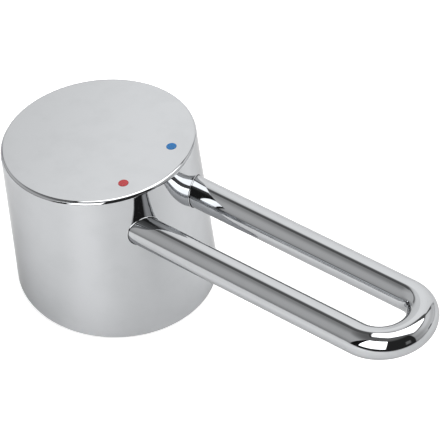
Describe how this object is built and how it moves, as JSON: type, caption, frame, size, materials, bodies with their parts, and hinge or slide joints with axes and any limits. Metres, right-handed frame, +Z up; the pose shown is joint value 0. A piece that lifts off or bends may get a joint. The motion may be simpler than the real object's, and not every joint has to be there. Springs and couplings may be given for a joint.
{
  "type": "mixer tap handle",
  "caption": "Chromed single-lever mixer handle: a hollow round cap with an oblique rim and a square stem socket, and a loop lever bent from round bar, with hot and cold marks.",
  "frame": {"origin": "on the rim plane, where the axis of the cap crosses it", "axes": "+Z up, square to the rim plane; +X towards the loop lever, in the part's plane of symmetry; +Y to the cold mark"},
  "size_m": [0.1322, 0.052, 0.0477],
  "materials": {
    "chrome_cap": "polished",
    "chrome_bar": "polished",
    "red_enamel": "gloss",
    "blue_enamel": "gloss",
    "screw_steel": "satin"
  },
  "bodies": {
    "root": {"handle_cap": "chrome_cap", "loop_lever": "chrome_bar", "hot_marker": "red_enamel", "cold_marker": "blue_enamel", "grub_screw": "screw_steel"}
  },
  "joints": []
}
